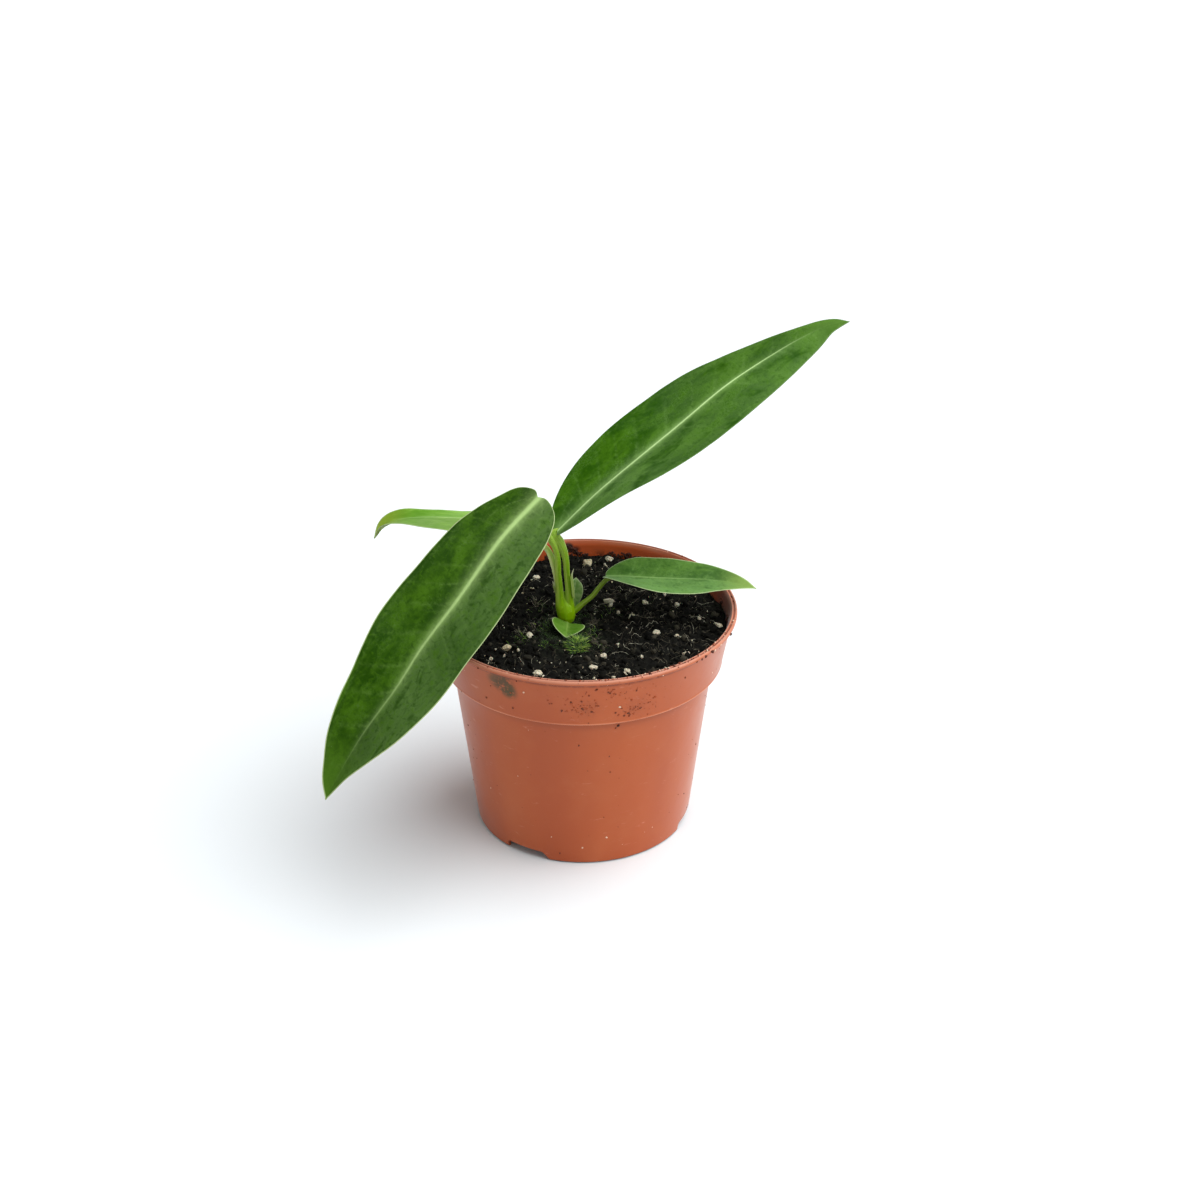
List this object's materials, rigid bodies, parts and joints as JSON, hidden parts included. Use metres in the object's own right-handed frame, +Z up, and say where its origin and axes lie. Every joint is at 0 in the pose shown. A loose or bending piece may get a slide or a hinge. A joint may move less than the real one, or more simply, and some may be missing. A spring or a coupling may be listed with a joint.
{
  "type": "potted anthurium seedling",
  "caption": "Young queen anthurium with long velvety pale-veined leaves, growing in dark potting mix in a small round terracotta-coloured plastic nursery pot.",
  "frame": {"origin": "middle of the pot's foot, on the surface the pot stands on", "axes": "+Z up along the pot's axis, +X towards the leaf that rises to the right, -Y towards the viewer"},
  "size_m": [0.1999, 0.1492, 0.1834],
  "materials": {
    "pot_plastic": "satin",
    "potting_mix": "matte",
    "stem": "satin",
    "roots": "matte",
    "petioles": "satin",
    "mature_leaves": "satin",
    "young_leaves": "satin",
    "cataphylls": "matte",
    "moss": "matte",
    "perlite": "matte"
  },
  "bodies": {
    "root": {"pot": "pot_plastic", "potting_mix": "potting_mix", "stem": "stem", "root_1": "roots", "root_2": "roots", "root_3": "roots", "root_4": "roots", "root_5": "roots", "petiole_large_left": "petioles", "petiole_large_right": "petioles", "petiole_back_left": "petioles", "petiole_small_right": "petioles", "leaf_large_left": "mature_leaves", "leaf_large_right": "mature_leaves", "leaf_back_left": "young_leaves", "leaf_small_right": "young_leaves", "leaf_tiny_front": "young_leaves", "leaf_round_back": "young_leaves", "cataphyll_left": "cataphylls", "cataphyll_right": "cataphylls", "moss_tuft": "moss", "perlite_01": "perlite", "perlite_02": "perlite", "perlite_03": "perlite", "perlite_04": "perlite", "perlite_05": "perlite", "perlite_06": "perlite", "perlite_07": "perlite", "perlite_08": "perlite", "perlite_09": "perlite", "perlite_10": "perlite", "perlite_11": "perlite", "perlite_12": "perlite", "perlite_13": "perlite", "perlite_14": "perlite", "perlite_15": "perlite", "perlite_16": "perlite", "perlite_17": "perlite", "perlite_18": "perlite"}
  },
  "joints": []
}
